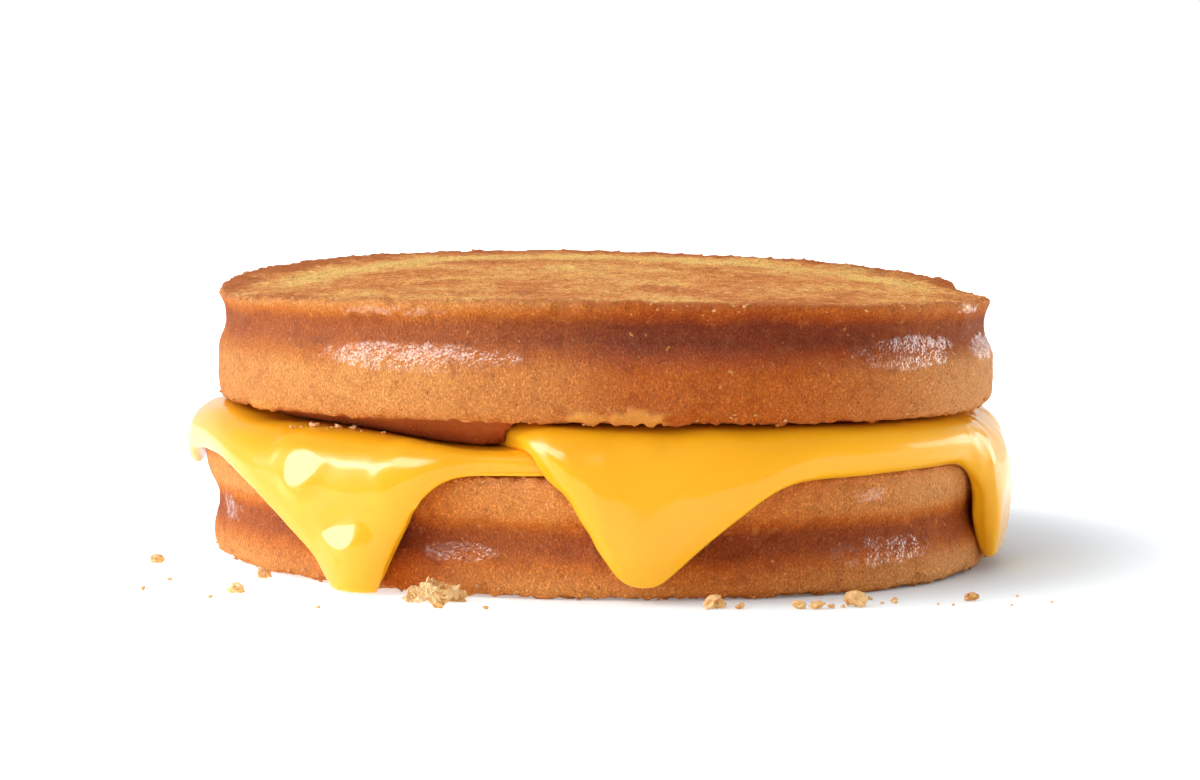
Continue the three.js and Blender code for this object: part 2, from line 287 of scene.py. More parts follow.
# melted cheese; sizes, depths and places are in mm
cheese = {
    "colour": (0.93, 0.415, 0.006),
    "paler": (0.95, 0.445, 0.012),
    "tone": (18, 2, 0.5),  # size in mm, detail and roughness of a pattern
    "skin": (2.4, 2, 0.5),
    "skinHeight": 0.02,
    "roughness": {"middle": 0.3, "change": 0.1},
    "finish": {
        "Subsurface Weight": 0.35,
        "Subsurface Radius": (1.0, 0.45, 0.1),
        "Subsurface Scale": 3 * mm,
        "Coat Weight": 0.6,
        "Coat Roughness": 0.06,
        "Specular IOR Level": 0.05,
    },
    # longest edges, where it hangs out past a radius and where it is covered
    "edges": {"outside": 46, "hanging": 3.8, "covered": 10},
    "smoothing": 24,
    "lowest": 0.4,
    # places that are pushed a little, with the reach of each push
    "nudges": {
        "cheese_left": [],
        "cheese_right": [
            {"at": (-4, -57, 13), "reach": 12, "by": (1.2, 0, 0)},
            {"at": (7.5, -59, 1), "reach": 12, "by": (0, 0, 1.1)},
            {"at": (68, -17.5, 3.5), "reach": 13, "by": (-1.6, 0, 0.6)},
        ],
    },
    "waves": {"size": 12, "shift": 21, "height": 0.06},
    "ripples": {"size": 3.5, "shift": 23, "height": 0.01},
    # it sinks onto the bread where it is turned to that by so much
    "settled": {"by": 0.5, "turned": (0.3, 0.8)},
    # the front drips narrow toward their tips
    "tips": {
        "cheese_left": {"at": (-38.5, -50), "below": 12, "reach": 16, "narrower": 0.12},
        "cheese_right": {"at": (7.5, -58), "below": 15, "reach": 20, "narrower": 0.3},
    },
    "fade": {"tip": 0.7, "flat": 0.4},  # share of the reach from which these fade out
    # places that bulge, where the skin faces outwards
    "bellies": {
        "cheese_left": [{"at": (-37.0, -47.5, 3.2), "reach": 10, "depth": 1.6}],
        "cheese_right": [{"at": (8, -57, 8), "reach": 9, "depth": 0.4}],
    },
    # places where the skin is drawn flat, and the way it faces there
    "flats": {
        "cheese_left": [
            {"at": (-39.6, -48.2, 8.6), "facing": (-0.63, -0.722, 0.286), "reach": 6.2,
             "lower": 1.5},
            {"at": (-46.8, -42.6, 18.9), "facing": (-0.5825, -0.735, 0.3467), "reach": 5.6,
             "lower": 1.0},
        ],
        "cheese_right": [],
    },
    "outward": {"bulges": (0, 0.5), "flat": 0.4},
}


def shapeCheese(data, name):
    points = readVertices(data, "co") / mm
    normals = readVertices(data, "normal")
    outward = points[:, :2] / np.linalg.norm(points[:, :2], axis=1)[:, None]
    facing = (normals[:, :2] * outward).sum(1)
    lift = noiseAt(points, cheese["waves"]) + noiseAt(points, cheese["ripples"])
    turned = np.maximum(-normals[:, 2], -facing)
    lift += cheese["settled"]["by"] * smoothStep(turned, *cheese["settled"]["turned"])
    for belly in cheese["bellies"][name]:
        away = np.linalg.norm(points - np.array(belly["at"]), axis=1)
        swell = belly["depth"] * (1 - smoothStep(away, 0, belly["reach"]))
        lift += swell * smoothStep(facing, *cheese["outward"]["bulges"])
    moved = points + normals * lift[:, None]
    narrowTip(moved, points, cheese["tips"][name])
    for nudge in cheese["nudges"][name]:
        away = np.linalg.norm(points - np.array(nudge["at"]), axis=1)
        moved += (1 - smoothStep(away, 0, nudge["reach"]))[:, None] * np.array(nudge["by"])
    for flat in cheese["flats"][name]:
        drawFlat(moved, normals, flat)
    moved[:, 2] = np.maximum(moved[:, 2], cheese["lowest"])
    data.vertices.foreach_set("co", (moved * mm).ravel())
    data.update()


def narrowTip(moved, points, tip):
    aside = points[:, 0] - tip["at"][0]
    away = np.hypot(aside, points[:, 1] - tip["at"][1])
    squeeze = tip["narrower"] * smoothStep(tip["below"] - points[:, 2], 0, tip["below"])
    squeeze *= 1 - smoothStep(away, tip["reach"] * cheese["fade"]["tip"], tip["reach"])
    moved[:, 0] -= squeeze * aside


def drawFlat(moved, normals, flat):
    # the skin round a place comes onto a plane through it
    away = np.linalg.norm(moved - np.array(flat["at"]), axis=1)
    middle, facing = moved[away.argmin()].copy(), np.array(flat["facing"])
    away = np.linalg.norm((moved - middle) * (1, 1, flat["lower"]), axis=1)
    share = 1 - smoothStep(away, flat["reach"] * cheese["fade"]["flat"], flat["reach"])
    share *= normals @ facing > cheese["outward"]["flat"]
    moved += (share * ((middle - moved) @ facing))[:, None] * facing


def makeCheese():
    paint = Paint(bpy.data.materials.new("melted cheese"))
    skin = paint.noise(*cheese["skin"])
    roughness = cheese["roughness"]
    sockets = {
        "Base Color": paint.mix(paint.noise(*cheese["tone"]), cheese["colour"], cheese["paler"]),
        "Roughness": roughness["middle"] + (skin - 0.5) * roughness["change"],
        "Normal": paint.bump(skin, cheese["skinHeight"]),
    }
    return paint.finish({**sockets, **cheese["finish"]})


def cheeseLimit(edge):
    edges = cheese["edges"]
    return edges["hanging"] if middleOf(edge).xy.length > edges["outside"] else edges["covered"]


def addCheese():
    look = makeCheese()
    for name in ("cheese_left", "cheese_right"):
        data = roundedCopy(name, cheeseLimit, cheese["smoothing"])
        shapeCheese(data, name)
        piece = addPiece(name + "_melted", data, look)
        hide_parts(name)
        print(name, "melted:", len(data.polygons), "faces")


addCheese()


# toasted bread, one slice after the other
# groove: the height share where the crust draws in; waist: the shares between which it does
# gain: how light the crust is, higher on the lower slice as painted light under the overhang;
# browned: how deeply it is fried, by direction in degrees, darker beside the lower slice's left
# cheese drip as painted shade
# dusty: painted sheen, a pale greyish tone, by direction; paleSheenAbove: how much of that above
# the groove
# buttered: middle of a glossy patch, its reach along and up the crust, and its strength
# tears: direction, height share, half width in degrees, half height in shares, depth
# ledges: direction of a step, height share, half height in shares, the degrees in which the
# flap beside it fades, depth
slices = {
    "bread_top": {
        "groove": 0.75,
        "waist": {"from": 0.42, "deep": (0.68, 0.8), "to": 0.97, "depth": 0.75},
        "gain": (0.96, 0.95, 0.86),
        "browned": [
            (30, 0.75), (75, 0.45), (120, 0.9), (160, 0.35), (195, 0.1), (235, 0.0),
            (252, 0.2), (266, 0.5), (281, 0.95), (306, 0.85), (322, 0.5), (345, 0.4),
        ],
        "dusty": [(295, 0), (316, 0.35), (328, 0.8), (345, 0.9), (359, 0.3)],
        "paleSheenAbove": 0.1,
        "buttered": [
            ((-28, -48, 37.2), (19, 2.5), 1.0),
            ((50, -42, 37.4), (13, 2.8), 1.0),
            ((65, -20, 36.6), (9, 2.4), 0.9),
            ((-32, -46, 44.2), (13, 1.0), 0.5),
            ((61, -28, 43.5), (8, 1.2), 0.5),
            ((-42, 40, 37.5), (15, 2.3), 0.8),
            ((34, 50, 38.5), (13, 2.3), 0.7),
        ],
        "tears": [
            (260.5, 0.97, 1.2, 0.06, -0.45),
            (268, 0.04, 6, 0.1, 0.3),
            (275, 0.06, 8, 0.13, 0.4),
            (205, 0.04, 5, 0.08, 0.35),
            (333, 0.95, 3, 0.08, -0.35),
            (58, 0.08, 5, 0.12, 0.4),
            (131, 0.96, 2, 0.07, -0.45),
        ],
        "ledges": [
            (276.4, 0.86, 0.32, 7, 0.55),
            (284, 0.08, 0.192, 5, 0.5),
            (331, 0.9, 0.256, -6, 0.4),
            (98, 0.85, 0.32, -7, 0.5),
        ],
    },
    "bread_bottom": {
        "groove": 0.46,
        "waist": {"from": 0.24, "deep": (0.42, 0.52), "to": 0.78, "depth": 0.5},
        # painted light: the lower slice's crust is lighter than the upper's, against the shade of
        # the overhang
        "gain": (1.12, 1.1, 0.96),
        # painted shade: the lower slice's crust darkens beside the left cheese drip, most at 238
        # degrees
        "browned": [
            (30, 0.5), (80, 0.8), (125, 0.4), (170, 0.3), (200, 0.1), (218, 0.35), (238, 0.9),
            (249, 0.4), (262, 0.2), (275, 0.3), (295, 0.65), (312, 0.55), (326, 0.28), (345, 0.35),
        ],
        "dusty": [
            (190, 0.35), (215, 0.25), (240, 0), (255, 0.15), (275, 0.2), (290, 0.1), (310, 0.5),
            (325, 0.9), (350, 0.9), (359, 0.3),
        ],
        "paleSheenAbove": 1.0,
        "buttered": [
            ((-21, -52, 7.0), (7, 1.8), 0.8),
            ((46, -46, 6.4), (13, 2.6), 0.6),
            ((-63, -14, 9.0), (8, 3.0), 0.4),
            ((44, -48, 15.5), (5, 1.6), 0.5),
            ((30, 48, 7.0), (14, 2.2), 0.8),
            ((-38, 42, 7.0), (12, 2.0), 0.7),
        ],
        "tears": [
            (246, 0.05, 5, 0.09, 0.3),
            (233, 0.02, 8, 0.05, 0.25),
            (70, 0.06, 6, 0.1, 0.3),
            (150, 0.95, 4, 0.08, -0.35),
        ],
        "ledges": [
            (309.9, 0.1, 0.384, -6, 0.5),
            (320, 0.1, 0.32, -7, 0.6),
            (305, 0.85, 0.32, 5, 0.35),
            (118, 0.12, 0.352, 6, 0.5),
        ],
    },
}

# relief of the bread; sizes, depths and places are in mm, and each noise has its own shift
relief = {
    "face": (0.8, 3.5),  # how far in from the crust the fried face begins and is full
    "lumps": {"size": 7, "shift": 0, "height": 0.16},
    "grain": {"size": 1.7, "shift": 3, "height": 0.09},
    "pores": {"size": 1.0, "shift": 5, "height": 0.09},
    "facePits": {"size": 2.4, "shift": 9, "depth": 0.26, "wide": 0.45},
    "rims": {"top": 0.12, "foot": 0.07},  # shares of the height that crumble
    "rimTears": {"size": 1.5, "shift": 11, "depth": 0.42, "lower": 0.85},
    "rimCrumbs": {"size": 0.8, "shift": 13, "height": 0.6},
    "crinkles": {"size": 1.2, "shift": 15, "height": 0.09, "butter": (0.1, 0.6)},
    "tornCrumbs": {"size": 0.9, "shift": 17},
    "tornEdges": {"size": 1.6, "shift": 19, "height": 0.5, "from": (0.25, 0.6)},
    "ledgeStep": (-0.1, 0.35),  # degrees
    "ledgeBends": {"size": 2.4, "shift": 29, "height": 0.7},
    "ledgeTeeth": {"size": 0.9, "shift": 31, "height": 0.3},
    # the rim is broken away between two directions, and a tip stands beside that
    "wornCorner": {"from": -17, "to": 12, "steep": 1.5, "reach": (1, 9), "depth": 1.15},
    "cornerBends": {"size": 2.0, "shift": 37, "height": 1.2},
    "tip": {"toward": 15.5, "wide": 1.8, "reach": (0.5, 4), "height": 0.5},
    # how much the upper rim curls up, by direction, and where that is highest
    "curl": [
        (0, 0), (25, 0.4), (45, 0.5), (80, 0.1), (115, 0.2), (138, 0.7), (158, 0.95), (172, 0.4),
        (188, 0), (359, 0),
    ],
    "curlPlace": {"inward": 1.5, "reach": 8},
    "upperPart": (0.6, 1),  # height shares in which all that changes the rim
    # how far in the upper slice comes down onto the cheese, and what is left between them
    "settling": {"from": 2.5, "to": 8, "rise": -0.4, "most": 8, "gap": 0.15},
}

# the crust is measured in so many directions, on a band so many mm deep
outline = {"sectors": 240, "depth": 3.5}


def directionOf(away):
    return np.degrees(np.arctan2(away[:, 1], away[:, 0])) % 360


def around(angle, amounts):
    # what a list by direction says at each angle
    return np.interp(angle, *zip(*amounts), period=360)


def crustTable(points, middle):
    # in each direction from the middle: the crust's reach, its lowest and its highest point
    sectors = outline["sectors"]
    away = points[:, :2] - middle
    radius = np.hypot(away[:, 0], away[:, 1])
    sector = (directionOf(away) * sectors / 360).astype(int) % sectors
    reach = np.array([radius[sector == s].max() for s in range(sectors)])
    onCrust = radius > reach[sector] - outline["depth"]
    low = np.array([points[(sector == s) & onCrust, 2].min() for s in range(sectors)])
    high = np.array([points[(sector == s) & onCrust, 2].max() for s in range(sectors)])
    return [(np.roll(t, 1) + t + np.roll(t, -1)) / 3 for t in (reach, low, high)]


def crustPlaces(points, middle):
    # each point's angle in degrees, height share and distance in from the crust in mm
    away = points[:, :2] - middle
    angle = directionOf(away)
    places = (np.arange(outline["sectors"]) + 0.5) * 360 / outline["sectors"]
    reach, low, high = [np.interp(angle, places, t, period=360) for t in crustTable(points, middle)]
    share = np.clip((points[:, 2] - low) / (high - low), 0, 1)
    return angle, share, reach - np.hypot(away[:, 0], away[:, 1])


def turnFrom(angle, toward):
    return (angle - toward + 180) % 360 - 180


def tearRelief(points, angle, share, onCrust, tears):
    lift = np.zeros(len(points))
    torn = np.zeros(len(points))
    crumbly = 0.5 + 0.5 * noiseAt(points, relief["tornCrumbs"])
    edges = noiseAt(points, relief["tornEdges"])
    for toward, height, wide, tall, depth in tears:
        spot = bumpAt(turnFrom(angle, toward), 0, wide)
        spot *= bumpAt(share, height, tall) * onCrust
        edge = smoothStep(spot + edges, *relief["tornEdges"]["from"])
        lift += depth * edge * (0.5 + crumbly)
        torn = np.maximum(torn, edge)
    return lift, torn


def ledgeRelief(points, angle, share, onCrust, ledges):
    lift = np.zeros(len(points))
    wander = noiseAt(points, relief["ledgeBends"]) + noiseAt(points, relief["ledgeTeeth"])
    for toward, height, tall, fade, depth in ledges:
        # positive on the flap's side of the step
        turn = turnFrom(angle, toward + wander) * -np.sign(fade)
        flap = smoothStep(turn, *relief["ledgeStep"])
        flap *= np.exp(-np.maximum(turn, 0) / abs(fade))
        lift += depth * flap * bumpAt(share, height, tall) * onCrust
    return lift


def butterAmount(points, patches):
    amount = np.zeros(len(points))
    for middle, (along, up), strength in patches:
        away = points - np.array(middle)
        distance = np.hypot(np.hypot(away[:, 0], away[:, 1]) / along, away[:, 2] / up)
        full = 1 - smoothStep(distance, *butter["thinsOut"])
        amount = np.maximum(amount, strength * full)
    return amount


def crustRelief(points, made, angle, share, inward, buttered):
    # how far each point moves along its normal, and where raw crumb shows
    onFace = smoothStep(inward, *relief["face"])
    onCrust = 1 - onFace
    lift = grainAt(points, relief["lumps"]) + grainAt(points, relief["grain"])
    lift += noiseAt(points, relief["pores"])
    pits = relief["facePits"]
    narrow = 1 - smoothStep(np.abs(grainAt(points, pits)), 0, pits["wide"])
    lift -= pits["depth"] * onFace * narrow
    rims, tears = relief["rims"], relief["rimTears"]
    rim = onCrust * np.maximum(bumpAt(share, 1, rims["top"]), bumpAt(share, 0, rims["foot"]))
    ragged = noiseAt(points, tears) + noiseAt(points, relief["rimCrumbs"])
    lift += np.where(share < 0.5, tears["lower"], tears["depth"]) * rim * ragged
    waist = made["waist"]
    drawn = smoothStep(share, waist["from"], waist["deep"][0])
    drawn *= 1 - smoothStep(share, waist["deep"][1], waist["to"])
    lift -= waist["depth"] * drawn * onCrust
    wet = smoothStep(buttered, *relief["crinkles"]["butter"])
    lift += wet * noiseAt(points, relief["crinkles"])
    tornLift, torn = tearRelief(points, angle, share, onCrust, made["tears"])
    lift += tornLift + ledgeRelief(points, angle, share, onCrust, made["ledges"])
    return lift, torn


def shapeToast(data, name):
    made = slices[name]
    points = readVertices(data, "co") / mm
    normals = readVertices(data, "normal")
    middle = (points[:, :2].max(0) + points[:, :2].min(0)) / 2
    angle, share, inward = crustPlaces(points, middle)
    buttered = butterAmount(points, made["buttered"])
    lift, torn = crustRelief(points, made, angle, share, inward, buttered)
    moved = points + normals * lift[:, None]
    if name == "bread_top":
        moved[:, 2] += cornerDrop(angle, share, inward, points)
        moved[:, 2] -= gapBelow(moved, normals, inward)
    moved[:, 2] = np.maximum(moved[:, 2], 0)
    data.vertices.foreach_set("co", (moved * mm).ravel())
    markToast(data, name, angle, share, inward, {"torn": torn, "buttered": buttered})


def markToast(data, name, angle, share, inward, signals):
    # what the material reads, partly by the way the shaped surface faces
    made = slices[name]
    rise = readVertices(data, "normal")[:, 2]
    upright = 1 - smoothStep(np.abs(rise), *limits["upright"])
    # the covered underside of the upper slice is painted dark red-brown for the shade in the gap
    covered = smoothStep(inward, *limits["covered"]) * (rise < limits["coveredRise"])
    # painted sheen: a pale greyish tone by direction, kept off the groove
    dusty = around(angle, made["dusty"])
    dusty *= smoothStep(np.abs(share - made["groove"]), *limits["besideGroove"])
    dusty *= np.where(share > made["groove"], made["paleSheenAbove"], 1)
    signals["share"] = share
    signals["inward"] = inward - limits["crustShift"] * upright  # below 0 on the crust
    signals["covered"] = covered * (name == "bread_top")
    signals["browned"] = around(angle, made["browned"])
    signals["dusty"] = dusty
    for signal, values in signals.items():
        setAttribute(data, signal, values)
    data.update()


def gapBelow(points, normals, inward):
    # how far the covered side has to come down to lie on the cheese
    near = relief["settling"]
    share = smoothStep(inward, near["from"], near["to"]) * (normals[:, 2] < near["rise"])
    drop = np.zeros(len(points))
    trees = [treeOf(name + "_melted") for name in ("cheese_left", "cheese_right")]
    down = Vector((0, 0, -1))
    for i in np.nonzero(share > 0)[0]:
        start = Vector(points[i]) * mm
        hits = [tree.ray_cast(start, down, near["most"] * mm)[3] for tree in trees]
        hits = [distance for distance in hits if distance is not None]
        if hits:
            drop[i] = share[i] * max(min(hits) / mm - near["gap"], 0)
    return drop


def cornerDrop(angle, share, inward, points):
    # the broken corner of the upper rim, the tip beside it, and the curl
    corner, tip = relief["wornCorner"], relief["tip"]
    turn = turnFrom(angle, 0) + noiseAt(points, relief["cornerBends"])
    broken = smoothStep(turn, corner["from"], 0)
    broken *= 1 - smoothStep(turn, corner["to"] - corner["steep"], corner["to"])
    broken *= 1 - smoothStep(inward, *corner["reach"])
    raised = bumpAt(turn, tip["toward"], tip["wide"]) * (1 - smoothStep(inward, *tip["reach"]))
    place = relief["curlPlace"]
    curl = around(angle, relief["curl"]) * bumpAt(inward, place["inward"], place["reach"])
    top = smoothStep(share, *relief["upperPart"])
    return top * (tip["height"] * raised + curl - corner["depth"] * broken)


# where the tones change; a rise is the upward part of a normal
limits = {
    "upright": (0.45, 0.7),  # rise up to which it is crust, and from which it is fried side
    "crustShift": 4,  # mm
    "covered": (1.0, 3.5),  # mm in from the crust
    "coveredRise": -0.3,
    "besideGroove": (0.1, 0.3),  # height shares away from it
    "faceFrom": (0.7, 1.7),  # mm in from the crust
    "back": (-25 * mm, 15 * mm),
}
# light and browned tones of the crust; reach: where each begins and ends beside the groove
crust = {
    "light": {"edge": (0.65, 0.25, 0.062), "flank": (0.55, 0.152, 0.018),
              "groove": (0.37, 0.085, 0.015)},
    "browned": {"edge": (0.45, 0.1, 0.012), "flank": (0.33, 0.056, 0.008),
                "groove": (0.185, 0.032, 0.01)},
    "reach": {"edge": (-0.36, 0.21), "flank": (-0.2, 0.13), "groove": (-0.07, 0.05)},
    # pale greyish tone painted on as sheen
    "dusty": (0.62, 0.30, 0.105),
    "torn": (0.80, 0.35, 0.065),
    # painted shade: dark red-brown for the covered underside, standing for the shade in the gap
    # between the slices
    "covered": (0.38, 0.08, 0.015),
    # how strongly each tone shows; wander and clump are patterns that break up its border
    "level": {"wander": 0.16, "clump": 0.12},
    "browningAndShade": {"strength": 1.25, "wander": 0.6, "clump": 0.3},
    "sheenMixing": {"strength": 0.6, "clump": 0.4},
    "backRim": {"from": (0.9, 0.98), "clump": 0.1, "strength": 0.8},
    "tornStrength": 0.6,
    "gapShadeStrength": 0.9,
}
# tones of the fried faces and their patterns; front and back say how strong each is there
friedSide = {
    "pale": (0.84, 0.54, 0.15),
    "gold": (0.79, 0.375, 0.098),
    "orange": (0.67, 0.225, 0.050),
    "brown": (0.44, 0.112, 0.021),
    "dark": (0.20, 0.040, 0.011),
    "stops": [(0.2, "brown"), (0.4, "orange"), (0.56, "gold"), (0.76, "pale")],
    "middle": 0.44,
    "blotches": 0.9,
    "mottle": 0.95,
    "lighterBack": 0.05,
    "borders": {"wander": 18, "clump": 8, "back": 0.5},
    "buttery": {"at": 8.5, "width": 4.5, "front": 0.05, "back": 0.75},
    "rim": {"to": (1.6, 4.4), "front": 0.5, "back": 0.42},
    "flecks": {"from": (0.54, 0.66), "strength": 0.6},
    "singed": {"at": 1.3, "width": 1.1, "clump": 2, "strength": 0.75},
}
# size in mm, detail and roughness of each pattern, and how it is stretched
patterns = {
    "wander": (11, 3, 0.55),
    "clump": (1.8, 4, 0.65),
    "grain": (0.3, 2, 0.6, (1, 1, 0.75)),
    "mottle": (2.6, 3, 0.6),
    "pores": (0.9, 1, 0.5),
    "crinkle": (0.55, 1, 0.5),
    "faceBlotches": (14, 3, 0.55),
    "faceMottle": (2.2, 4, 0.75),
    "flecks": (0.8, 3, 0.7),
}
# small marks: where in a pattern each begins and is full, and its tone or its gain
marks = [
    {"in": "mottle", "from": (0.5, 0.3), "strength": 0.7, "gain": (0.74, 0.66, 0.6)},
    {"in": "grain", "from": (0.53, 0.7), "strength": 1, "gain": (1.45, 1.62, 1.75)},
    {"in": "grain", "from": (0.5, 0.32), "strength": 1, "gain": (0.74, 0.67, 0.64)},
    {"in": "pores", "from": (0.27, 0.2), "strength": 0.6, "tone": friedSide["dark"]},
    {"in": "pores", "from": (0.71, 0.8), "strength": 0.5, "tone": friedSide["gold"]},
]
dry = {
    "roughness": {"middle": 0.74, "clump": 0.2},
    # how strongly each pattern stands out, where it does, and how high that is in mm
    "relief": {"grain": 0.8, "clump": 1.8, "pores": 1.2},
    "grainFrom": (0.3, 0.7),
    "poresFrom": (0.3, 0.2),
    "height": 0.13,
    "finish": {
        "Subsurface Weight": 0.08,
        "Subsurface Radius": (1.0, 0.4, 0.15),
        "Subsurface Scale": 1.0 * mm,
        "Specular IOR Level": 0.06,
    },
}
butter = {
    "thinsOut": (0.35, 1.25),  # a patch is full and ends at these shares of its reach
    "from": (0.15, 0.6),
    "ragged": 6,
    "film": 0.25,  # how much shines between the crinkles
    "crinkles": {"from": (0.53, 0.62), "grain": 0.3},
    "grainRelief": 0.2,
    "height": 0.22,
    "finish": {"Roughness": 0.11, "Specular IOR Level": 1.0},
}


def crustRamp(paint, level, groove, tones):
    reach = crust["reach"]
    below = [(groove + reach[part][0], tones[part]) for part in ("edge", "flank", "groove")]
    above = [(groove + reach[part][1], tones[part]) for part in ("groove", "flank", "edge")]
    return paint.ramp(level, below + above)


def crustColour(paint, share, wander, clump, groove, gain):
    # light at both edges, browned where it draws in
    level = share + wander * crust["level"]["wander"] + clump * crust["level"]["clump"]
    light = crustRamp(paint, level, groove, crust["light"])
    deep = crustRamp(paint, level, groove, crust["browned"])
    fried, sheenMix = crust["browningAndShade"], crust["sheenMixing"]
    # the browned tones are frying, and on the lower slice also painted shade beside the cheese
    # drips
    browningAndShade = paint.attribute("browned") * fried["strength"] + wander * fried["wander"]
    colour = paint.mix(browningAndShade + clump * fried["clump"], light, deep)
    # gain multiplies the crust's colour; on the lower slice it is painted light against the
    # overhang's shade
    colour = paint.mix(1.0, colour, gain, "MULTIPLY")
    # painted sheen: a pale greyish tone mixed in by direction
    sheenMixing = paint.attribute("dusty") * sheenMix["strength"] + clump * sheenMix["clump"]
    return paint.mix(sheenMixing, colour, crust["dusty"])


def friedFace(paint, inward, wander, clump, back):
    # finely mottled, with a pale buttery band inside its browned rim at the back
    blotches = paint.noise(*patterns["faceBlotches"]) - 0.5
    mottle = paint.noise(*patterns["faceMottle"]) - 0.5
    level = friedSide["middle"] + blotches * friedSide["blotches"] + mottle * friedSide["mottle"]
    stops = [(place, friedSide[tone]) for place, tone in friedSide["stops"]]
    fried = paint.ramp(level + back * friedSide["lighterBack"], stops)
    borders, buttery = friedSide["borders"], friedSide["buttery"]
    place = inward + wander * borders["wander"] + clump * borders["clump"]
    place = place * (1 - back * borders["back"])
    pale = paint.band(place, buttery["at"], buttery["width"])
    pale = pale * (back * buttery["back"] + buttery["front"])
    fried = paint.mix(pale, fried, friedSide["pale"])
    rim, flecks = friedSide["rim"], friedSide["flecks"]
    brown = (1 - paint.step(place, *rim["to"])) * (rim["front"] + back * rim["back"])
    fried = paint.mix(brown, fried, friedSide["brown"])
    flecked = paint.step(paint.noise(*patterns["flecks"]), *flecks["from"]) * flecks["strength"]
    return paint.mix(flecked, fried, friedSide["brown"])


def makeToast(name, groove, gain):
    paint = Paint(bpy.data.materials.new(name))
    share = paint.attribute("share")
    inward = paint.attribute("inward")
    browned = paint.attribute("browned")
    wander = paint.noise(*patterns["wander"]) - 0.5
    clump = paint.noise(*patterns["clump"]) - 0.5
    mottled = {part: paint.noise(*patterns[part]) for part in ("grain", "mottle", "pores")}
    grain, pores = mottled["grain"], mottled["pores"]
    depth = paint.node("SeparateXYZ", {}, {"Vector": paint.place}, "Y")
    back = paint.step(depth, *limits["back"])
    colour = crustColour(paint, share, wander, clump, groove, gain)
    rim, singe = crust["backRim"], friedSide["singed"]
    brown = back * paint.step(share + clump * rim["clump"], *rim["from"]) * rim["strength"]
    colour = paint.mix(brown, colour, friedSide["brown"])
    fried = friedFace(paint, inward, wander, clump, back)
    colour = paint.mix(paint.step(inward + clump, *limits["faceFrom"]), colour, fried)
    singed = paint.band(inward + clump * singe["clump"], singe["at"], singe["width"])
    singed = singed * browned * (1 - back) * singe["strength"]
    colour = paint.mix(singed, colour, friedSide["brown"])
    for mark in marks:
        amount = paint.step(mottled[mark["in"]], *mark["from"]) * mark["strength"]
        if "gain" in mark:
            colour = paint.mix(amount, colour, mark["gain"], "MULTIPLY")
        else:
            colour = paint.mix(amount, colour, mark["tone"])
    colour = paint.mix(paint.attribute("torn") * crust["tornStrength"], colour, crust["torn"])
    # painted shade: the covered underside turns dark red-brown, the way the gap between the slices
    # looks in shade
    covered = paint.attribute("covered") * crust["gapShadeStrength"]
    colour = paint.mix(covered, colour, crust["covered"])
    # buttery patches shine and crinkle
    crinkle, ridges = paint.noise(*patterns["crinkle"]), butter["crinkles"]
    wet = paint.step(paint.attribute("buttered") * (1 + clump * butter["ragged"]), *butter["from"])
    ridge = paint.step(crinkle + grain * ridges["grain"], *ridges["from"])
    wet = wet * (butter["film"] + (1 - butter["film"]) * ridge)
    stands, roughness = dry["relief"], dry["roughness"]
    height = paint.step(grain, *dry["grainFrom"]) * stands["grain"] + clump * stands["clump"]
    height = height - paint.step(pores, *dry["poresFrom"]) * stands["pores"]
    bread = {
        "Base Color": colour,
        "Roughness": roughness["middle"] + clump * roughness["clump"],
        "Normal": paint.bump(height, dry["height"]),
    }
    film = {
        "Base Color": colour,
        "Normal": paint.bump(crinkle + grain * butter["grainRelief"], butter["height"]),
    }
    return paint.finishBoth(wet, {**bread, **dry["finish"]}, {**film, **butter["finish"]})


# longest edges in mm, on the crust, on the fried face that shows and where it is covered
toastEdges = {"crust": 2.4, "shown": 3.8, "covered": 9, "faceRise": 0.7}


def toastLimit(name):
    def longest(edge):
        if min(abs(face.normal.z) for face in edge.link_faces) < toastEdges["faceRise"]:
            return toastEdges["crust"]
        shown = name == "bread_top" and edge.link_faces[0].normal.z > 0
        return toastEdges["shown" if shown else "covered"]

    return longest


def addToast():
    for name, made in slices.items():
        data = roundedCopy(name, toastLimit(name))
        shapeToast(data, name)
        look = makeToast("fried " + name, made["groove"], made["gain"])
        piece = addPiece(name + "_toasted", data, look)
        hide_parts(name)
        print(name, "toasted:", len(data.polygons), "faces")


addToast()


